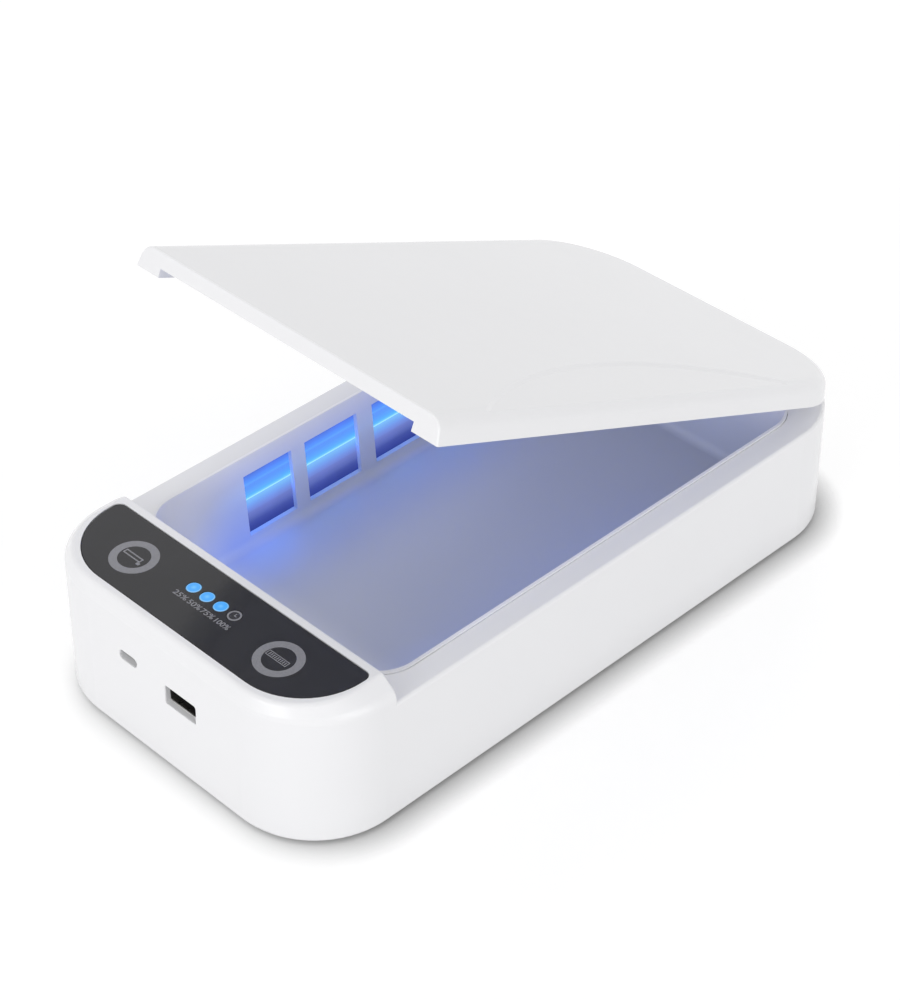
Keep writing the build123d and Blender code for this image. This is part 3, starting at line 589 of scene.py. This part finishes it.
class MarkSettings(bpy.types.PropertyGroup):
    """Sizes of the marks printed on the panel."""
    ring_outer: FloatProperty(name="Ring radius", description="Outside of the touch rings",
                              subtype="DISTANCE", unit="LENGTH", default=6.98 * MM, min=0)
    ring_inner: FloatProperty(name="Ring bore", description="Inside of the touch rings",
                              subtype="DISTANCE", unit="LENGTH", default=4.62 * MM, min=0)
    ink_thickness: FloatProperty(name="Ink thickness", description="Height of the print",
                                 subtype="DISTANCE", unit="LENGTH", default=0.02 * MM, min=0)
    figure_height: FloatProperty(name="Figure height", description="Height of the figures",
                                 subtype="DISTANCE", unit="LENGTH", default=1.85 * MM, min=0)
    figure_gap: FloatProperty(name="Figure gap",
                              description="Middle of the lights to the figures",
                              subtype="DISTANCE", unit="LENGTH", default=3.6 * MM, min=0)


class StageSettings(bpy.types.PropertyGroup):
    """Studio round the box."""
    daylight: FloatProperty(
        name="Daylight", description="Level of the even light all round",
        default=0.755, min=0, max=5)
    front_power: FloatProperty(
        name="Front light", description="Soft box ahead of the box, watts",
        default=7.66, min=0, max=1000)
    right_power: FloatProperty(
        name="Right light", description="Soft box on the right, watts",
        default=4.8, min=0, max=1000)
    rear_power: FloatProperty(
        name="Rear light", description="Soft box behind on the left, watts",
        default=3.19, min=0, max=1000)
    floor_colour: FloatVectorProperty(
        name="Floor", description="Colour of the floor",
        subtype="COLOR", size=4, min=0, max=1, default=linear("E6E6E6"))
    spill_power: FloatProperty(
        name="Lamp spill", description="Light that each lamp throws, watts",
        default=0.008, min=0, max=10)
    veil: FloatProperty(
        name="Floor veil", description="White added to the floor as it is seen",
        default=0.32, min=0, max=1)
    contact_reach: FloatProperty(
        name="Contact shadow", description="Reach of the shadow at the feet",
        subtype="DISTANCE", unit="LENGTH", default=9.5 * MM, min=0)


# ---------------------------------------------------------------- operators
class BoxShell(bpy.types.Operator):
    """Gives the housing, the lid, the liner and the cover their moulded white, with painted
    shade and lamp light on the liner
    """
    bl_idname = "sanitizer_box.shell"
    bl_label = "Moulded Shell"

    def execute(self, context):
        finish = context.scene.box_finish
        outside = gloss_moulded_abs("gloss_moulded_ABS", list(finish.shell_colour))
        plate = gloss_moulded_abs("gloss_moulded_ABS_plate", list(finish.plate_colour))
        low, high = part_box("chamber_liner")
        # the lit part of the tubes lies between the caps, which stand beside the tray's walls
        front_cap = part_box("left_front_lamp_cap")[1]
        row = front_cap.y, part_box("left_rear_lamp_cap")[0].y
        tray = tray_abs_with_painted_light("gloss_moulded_ABS_tray_painted_light", low, high, row, -front_cap.x,
                           finish.painted_lamp_light)
        under = matt_moulded_abs("matt_moulded_ABS", list(finish.shell_colour))
        wear(["base_housing", "lid_shell"], outside)
        wear(["chamber_liner"], tray)
        wear(["lid_inner_plate"], plate)
        wear(["bottom_cover"], under)
        return {"FINISHED"}


class BoxPanel(bpy.types.Operator):
    """Gives the touch panel its dark gloss and lights the level lights"""
    bl_idname = "sanitizer_box.panel"
    bl_label = "Touch Panel and Lights"

    def execute(self, context):
        finish = context.scene.box_finish
        wear(["control_panel"], dark_acrylic("back_printed_acrylic", list(finish.panel_colour)))
        low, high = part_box("level_light_1")
        radius = (high.x - low.x) / 2
        for number in (1, 2, 3):
            name = "level_light_" + str(number)
            wear([name], lit_guide("lit_polycarbonate_" + str(number), middle_of(name), radius,
                                   finish.light_colour, finish.light_glow))
        wear(["level_light_4"], unlit_guide("smoked_polycarbonate", middle_of("level_light_4"),
                                            radius))
        return {"FINISHED"}


class BoxMarks(bpy.types.Operator):
    """Prints the touch rings, their marks and the figures on the panel"""
    bl_idname = "sanitizer_box.marks"
    bl_label = "Printed Marks"

    def execute(self, context):
        marks = context.scene.box_marks
        ink = printed_ink("screen_printed_ink", list(context.scene.box_finish.ink_colour))
        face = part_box("control_panel")[1].z + PRINT_LIFT
        top = face + marks.ink_thickness
        keys = {side: middle_of(side + "_touch_spring") for side in ("left", "right")}
        for side, key in keys.items():
            shape = bmesh.new()
            add_ring(shape, key, marks.ring_outer, marks.ring_inner, face, marks.ink_thickness)
            piece(side + "_touch_ring", shape, ink, "base")
        self.stand_mark(keys["left"], (face, top), ink)
        self.lamp_mark(keys["right"], (face, top), ink)
        self.figures(marks, (face, top), ink)
        self.idle_light_mark((face, top), ink)
        return {"FINISHED"}

    def stand_mark(self, key, z_span, ink):
        """A long bar in outline on a short foot."""
        shape = bmesh.new()
        add_frame(shape, beside(key.x, (-4.1, 2.8)), beside(key.y, (-0.6, 1.1)), z_span,
                  0.42 * MM)
        add_bar(shape, beside(key.x, (2.3, 3.5)), beside(key.y, (-1.6, -0.65)), z_span,
                0.15 * MM)
        piece("left_key_mark", shape, ink, "base")

    def lamp_mark(self, key, z_span, ink):
        """A lamp tube: a long frame with dashes in it, a little left of the key's middle."""
        shape = bmesh.new()
        x, y = key.x - 0.45 * MM, key.y
        half, line = 3.85 * MM, 0.25 * MM
        pitch, dash = 0.74 * MM, 0.34 * MM
        add_frame(shape, (x - half, x + half), beside(y, (-1.0, 1.0)), z_span, line)
        for i in range(TUBE_DASHES):
            at = x - half + line + (i + 0.75) * pitch
            add_bar(shape, (at, at + dash), beside(y, (-0.55, 0.55)), z_span)
        piece("right_key_mark", shape, ink, "base")

    def figures(self, marks, z_span, ink):
        """The row of charge levels in front of the lights."""
        high = middle_of("level_light_1").y - marks.figure_gap
        shape = bmesh.new()
        for words, x_low, x_high in FIGURES:
            x_span = (x_low * MM, x_high * MM)
            add_text(shape, words, x_span, (high - marks.figure_height, high), z_span[1])
        piece("level_figures", shape, ink, "base")

    def idle_light_mark(self, z_span, ink):
        """Ring and small hand on the light that is off."""
        shape = bmesh.new()
        light = middle_of("level_light_4")
        add_ring(shape, light, 2.03 * MM, 1.5 * MM, z_span[0], z_span[1] - z_span[0], 64)
        add_bar(shape, beside(light.x, (-0.14, 0.14)), beside(light.y, (-0.15, 0.95)), z_span,
                0.05 * MM)
        add_bar(shape, beside(light.x, (0.16, 0.75)), beside(light.y, (-0.15, 0.13)), z_span,
                0.05 * MM)
        piece("idle_light_mark", shape, ink, "base")


class BoxLamps(bpy.types.Operator):
    """Lights the two lamp tubes and gives their reflectors and caps a finish with painted lamp
    light
    """
    bl_idname = "sanitizer_box.lamps"
    bl_label = "Lamps"

    def execute(self, context):
        finish = context.scene.box_finish
        low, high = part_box("left_lamp_tube")
        tube = quartz_tube("lit_quartz", low.z, high.z, finish.lamp_glow)
        wear(["left_lamp_tube", "right_lamp_tube"], tube)
        low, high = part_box("left_reflector")
        foil = violet_foil("rolled_anodised_aluminium_painted_light", low.z - FOIL_BELOW, high.z,
                           finish.painted_foil_light)
        wear(["left_reflector", "right_reflector"], foil)
        for side in ("left", "right"):
            self.apron(side, foil)
        caps = [side + "_" + end + "_lamp_cap" for side in ("left", "right")
                for end in ("front", "rear")]
        # translucent silicone; the light of the tube's end in it is painted as a blue glow over
        # the whole cap
        wear(caps, soft_rubber("moulded_silicone_painted_glow", linear("C9C9CC"), linear("D6D6D8"), 0.4,
                               "4878E0", finish.painted_lamp_light))
        return {"FINISHED"}

    def apron(self, side, foil):
        """Thinner foil that carries each reflector on down the wall and past the lamp caps."""
        low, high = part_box(side + "_reflector")
        cap_low, cap_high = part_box(side + "_front_lamp_cap")
        x_span = (low.x, low.x + FOIL_THICKNESS)
        if side == "right":
            x_span = (high.x - FOIL_THICKNESS, high.x)
        ends = (low.y - FOIL_BEYOND, high.y + FOIL_BEYOND)
        shape = bmesh.new()
        add_bar(shape, x_span, ends, (low.z - FOIL_BELOW, low.z))
        for y_span in ((ends[0], low.y), (high.y, ends[1])):
            add_bar(shape, x_span, y_span, (low.z, cap_low.z - FOIL_TO_CAP))
            add_bar(shape, x_span, y_span, (cap_high.z + FOIL_TO_CAP, high.z))
        piece(side + "_reflector_apron", shape, foil, "base")


class BoxSockets(bpy.types.Operator):
    """Finishes the two sockets and adds the contacts on their tongues"""
    bl_idname = "sanitizer_box.sockets"
    bl_label = "Sockets"

    def execute(self, context):
        wear(["usb_socket_shell", "charging_socket_shell"],
             drawn_steel("folded_nickel_plated_steel", linear("A9A8A4"), linear("BFBEBA"), 0.25,
                         (1.0, 0.08, 1.0)))
        wear(["usb_socket_tongue", "charging_socket_tongue"],
             filled_nylon("moulded_nylon", linear("1B1B1D"), linear("26262A")))
        tin = drawn_steel("tin_plated_bronze", linear("7E7D7A"), linear("93928F"), 0.3,
                          (1.0, 0.1, 1.0))
        self.contacts("usb_contacts", "usb_socket_tongue", 4, 2.3, 1.0, tin)
        self.contacts("charging_contacts", "charging_socket_tongue", 5, 1.1, 0.5, tin)
        return {"FINISHED"}

    def contacts(self, name, tongue, count, pitch, width, material):
        """Sprung strips under a tongue, with a small crook at the front of each."""
        low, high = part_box(tongue)
        # the blade is thinner than the block at its root, so only its front is read
        under = min(v.co.z for v in nodes[tongue].data.vertices if v.co.y < low.y + 0.5 * MM)
        shape = bmesh.new()
        middle = (low.x + high.x) / 2
        for i in range(count):
            strip = middle + (i - (count - 1) / 2) * pitch * MM
            x_span = beside(strip, (-width / 2, width / 2))
            add_bar(shape, x_span, (low.y + 0.6 * MM, high.y - 1.3 * MM),
                    beside(under, (-0.12, 0.02)))
            add_bar(shape, x_span, beside(low.y, (1.2, 2.0)), beside(under, (-0.3, -0.1)))
        piece(name, shape, material, "base")


class BoxWorks(bpy.types.Operator):
    """Finishes the boards, springs, screws, pins, magnet and feet"""
    bl_idname = "sanitizer_box.works"
    bl_label = "Boards, Fasteners and Feet"

    def execute(self, context):
        wear(["touch_board", "driver_board"], glass_epoxy("woven_glass_epoxy"))
        wear(["lamp_transformer"], wound_core("taped_winding"))
        wear(["reed_switch"], filled_nylon("moulded_switch_body", linear("1D1D1F"),
                                           linear("29292C")))
        wear(["left_touch_spring", "right_touch_spring"],
             drawn_steel("drawn_spring_steel", linear("9A9A9C"), linear("B4B4B6"), 0.2))
        wear(["cover_screws", "touch_board_screws", "driver_board_screws"],
             drawn_steel("zinc_plated_steel", linear("8E9094"), linear("A9ABAF"), 0.3))
        wear(["left_hinge_pin", "right_hinge_pin"],
             drawn_steel("ground_steel", linear("A4A5A8"), linear("BBBCBF"), 0.16,
                         (0.1, 1.0, 1.0), 0.3))
        wear(["lid_magnet"],
             drawn_steel("nickel_plated_magnet", linear("B2B0AC"), linear("C6C4C0"), 0.18))
        feet = [end + "_" + side + "_foot" for end in ("front", "rear")
                for side in ("left", "right")]
        wear(feet, soft_rubber("moulded_rubber", linear("2A2A2C"), linear("343437"), 0.6))
        return {"FINISHED"}


class BoxStage(bpy.types.Operator):
    """Sets up the floor, the lights and the camera"""
    bl_idname = "sanitizer_box.stage"
    bl_label = "Studio"

    def execute(self, context):
        stage = context.scene.box_stage
        self.floor(stage)
        self.world(stage.daylight)
        self.soft_box("front_light", FRONT_PLACE, stage.front_power)
        self.soft_box("right_light", RIGHT_PLACE, stage.right_power)
        rear = self.soft_box("rear_light", REAR_PLACE, stage.rear_power)
        rear.visible_glossy = False
        for side in (-1, 1):
            self.lamp_spill(side, stage.spill_power)
        self.camera()
        context.scene.view_settings.view_transform = "Standard"
        return {"FINISHED"}

    def shown_share(self, tree):
        """1 for rays from the camera, a mirror or glass, and 0 for those that carry light."""
        path = add_node(tree, "ShaderNodeLightPath")
        first = add_node(tree, "ShaderNodeMath", {"operation": "MAXIMUM"},
                         {0: path.outputs["Is Camera Ray"], 1: path.outputs["Is Glossy Ray"]})
        both = add_node(tree, "ShaderNodeMath", {"operation": "MAXIMUM"},
                        {0: first.outputs["Value"], 1: path.outputs["Is Transmission Ray"]})
        return both.outputs["Value"]

    def floor(self, stage):
        """Pale floor that reads as white and keeps the box's real shadow, darkened at its foot
        by a painted contact shadow.
        """
        shape = bmesh.new()
        bmesh.ops.create_grid(shape, x_segments=8, y_segments=8, size=FLOOR_REACH,
                              matrix=Matrix.Translation((0.0, 0.0, -FLOOR_DROP)))
        mesh = bpy.data.meshes.new("studio_floor")
        shape.to_mesh(mesh)
        shape.free()
        made = bpy.data.objects.new("studio_floor", mesh)
        bpy.context.scene.collection.objects.link(made)
        material, tree, output, _ = new_finish("painted_studio_floor")
        shown = self.shown_share(tree)
        lean = add_node(tree, "ShaderNodeCombineXYZ", dict(zip("XYZ", SHADOW_LEAN)))
        near = add_node(tree, "ShaderNodeAmbientOcclusion",
                        {"samples": SHADOW_SAMPLES, "Distance": stage.contact_reach},
                        {"Normal": lean.outputs["Vector"]})
        deep = add_node(tree, "ShaderNodeMath", {"operation": "POWER", 1: SHADOW_POWER},
                        {0: near.outputs["AO"]})
        # only rays that show the floor see the painted contact shadow, so that it still lights
        # the box
        open_share = add_node(tree, "ShaderNodeMix", {"data_type": "FLOAT", 2: 1.0},
                              {0: shown, 3: deep.outputs["Value"]}).outputs[0]
        tone = add_node(tree, "ShaderNodeMix", {"data_type": "RGBA", 6: (0.0, 0.0, 0.0, 1.0),
                                                7: list(stage.floor_colour)}, {0: open_share})
        paint = add_node(tree, "ShaderNodeBsdfDiffuse", {}, {"Color": tone.outputs[2]})
        seen = add_node(tree, "ShaderNodeMath", {"operation": "MULTIPLY", 1: stage.veil},
                        {0: shown})
        strength = add_node(tree, "ShaderNodeMath", {"operation": "MULTIPLY"},
                            {0: seen.outputs["Value"], 1: open_share})
        veil = add_node(tree, "ShaderNodeEmission", {"Color": (1, 1, 1, 1)},
                        {"Strength": strength.outputs["Value"]})
        sum_up = add_node(tree, "ShaderNodeAddShader", {},
                          {0: paint.outputs["BSDF"], 1: veil.outputs["Emission"]})
        tree.links.new(sum_up.outputs["Shader"], output.inputs["Surface"])
        mesh.materials.append(material)

    def world(self, level):
        """Even daylight, seen as plain white."""
        world = bpy.data.worlds.new("studio_daylight")
        bpy.context.scene.world = world
        world.use_nodes = True
        tree = world.node_tree
        tree.nodes.clear()
        lit = add_node(tree, "ShaderNodeBackground", {"Color": (1, 1, 1, 1), "Strength": level})
        seen = add_node(tree, "ShaderNodeBackground", {"Color": (1, 1, 1, 1), "Strength": 1.0})
        mix = add_node(tree, "ShaderNodeMixShader", {},
                       {0: self.shown_share(tree), 1: lit.outputs["Background"],
                        2: seen.outputs["Background"]})
        output = add_node(tree, "ShaderNodeOutputWorld")
        tree.links.new(mix.outputs["Shader"], output.inputs["Surface"])

    def soft_box(self, name, place, power):
        """A square light aimed at the box."""
        lamp = bpy.data.lights.new(name, "AREA")
        lamp.shape = "SQUARE"
        lamp.size = SOFT_BOX_WIDTH
        lamp.energy = power
        made = bpy.data.objects.new(name, lamp)
        bpy.context.scene.collection.objects.link(made)
        aim = Vector(SOFT_BOX_AIM) - Vector(place)
        turn = aim.to_track_quat("-Z", "Y").to_matrix().to_4x4()
        made.matrix_world = Matrix.Translation(place) @ turn
        return made

    def lamp_spill(self, side, power):
        """The light that a lamp throws into the chamber through its windows."""
        side_name = "left" if side < 0 else "right"
        low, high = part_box(side_name + "_lamp_tube")
        lamp = bpy.data.lights.new(side_name + "_lamp_spill", "AREA")
        lamp.shape = "RECTANGLE"
        lamp.size, lamp.size_y = SPILL_SIZE
        lamp.energy = power
        lamp.color = linear(SPILL_COLOUR)[:3]
        made = bpy.data.objects.new(side_name + "_lamp_spill", lamp)
        bpy.context.scene.collection.objects.link(made)
        place = (low + high) / 2
        place.x = (high.x if side < 0 else low.x) - side * SPILL_GAP
        turn = Matrix.Rotation(math.radians(90 * side), 4, "Y")
        made.matrix_world = Matrix.Translation(place) @ turn
        made.visible_camera = False
        made.visible_glossy = False

    def camera(self):
        """Eye at the photograph's place: 38 degrees above the front right corner."""
        lens = bpy.data.cameras.new("studio_camera")
        lens.sensor_fit = "HORIZONTAL"
        lens.sensor_width = SENSOR_WIDTH
        lens.lens = FOCAL_LENGTH
        lens.clip_start = EYE_NEAR
        made = bpy.data.objects.new("studio_camera", lens)
        made.location = EYE
        made.rotation_euler = (math.radians(EYE_TILT), 0.0, math.radians(EYE_TURN))
        bpy.context.scene.collection.objects.link(made)
        bpy.context.scene.camera = made


class BoxSidebar(bpy.types.Panel):
    """Lists the steps and the settings in the sidebar of the 3D view"""
    bl_idname = "VIEW3D_PT_sanitizer_box"
    bl_label = "Sanitizer Box"
    bl_space_type = "VIEW_3D"
    bl_region_type = "UI"
    bl_category = "Sanitizer Box"

    def draw(self, context):
        scene = context.scene
        for settings in (scene.box_finish, scene.box_marks, scene.box_stage):
            for name in settings.__annotations__:
                self.layout.prop(settings, name)
        for step in STEPS:
            self.layout.operator(step.bl_idname)


STEPS = (BoxShell, BoxPanel, BoxMarks, BoxLamps, BoxSockets, BoxWorks, BoxStage)
SETTINGS = (FinishSettings, MarkSettings, StageSettings)


def register():
    """Registers the classes and hangs the settings on the scene."""
    for kind in SETTINGS + STEPS + (BoxSidebar,):
        bpy.utils.register_class(kind)
    bpy.types.Scene.box_finish = PointerProperty(type=FinishSettings)
    bpy.types.Scene.box_marks = PointerProperty(type=MarkSettings)
    bpy.types.Scene.box_stage = PointerProperty(type=StageSettings)


def unregister():
    """Takes the settings and the classes away again."""
    del bpy.types.Scene.box_finish
    del bpy.types.Scene.box_marks
    del bpy.types.Scene.box_stage
    for kind in reversed(SETTINGS + STEPS + (BoxSidebar,)):
        bpy.utils.unregister_class(kind)


def main():
    """Makes everything in order."""
    register()
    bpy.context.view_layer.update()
    bpy.ops.sanitizer_box.shell()
    bpy.ops.sanitizer_box.panel()
    bpy.ops.sanitizer_box.marks()
    bpy.ops.sanitizer_box.lamps()
    bpy.ops.sanitizer_box.sockets()
    bpy.ops.sanitizer_box.works()
    bpy.ops.sanitizer_box.stage()


if __name__ == "__main__":
    main()
